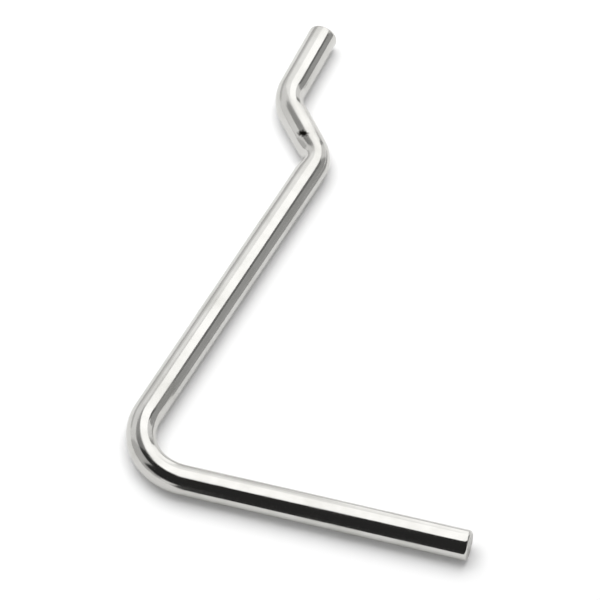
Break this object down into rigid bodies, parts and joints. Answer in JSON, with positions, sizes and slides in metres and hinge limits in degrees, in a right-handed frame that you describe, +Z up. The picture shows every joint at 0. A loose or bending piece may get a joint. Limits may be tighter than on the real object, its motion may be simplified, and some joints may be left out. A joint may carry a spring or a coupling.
{
  "type": "pegboard hook",
  "caption": "Bent round-wire hook for pegboard: a jogged stub catches behind the board, a straight shank bears on its face and a rising arm carries what hangs there.",
  "frame": {"origin": "centre of the peg hole on the board's front face, with the shank's back touching that face and the jog's middle level with the hole", "axes": "+X out of the board, the way the arm stands out, +Z up the board, and the wire's centre line in the plane Y = 0, as the hook hangs in use"},
  "size_m": [0.0821, 0.0056, 0.1087],
  "materials": {
    "plated_wire": "bright zinc plating on cold-drawn, cold-bent steel wire"
  },
  "bodies": {
    "root": {"hook_wire": "plated_wire"}
  },
  "joints": []
}
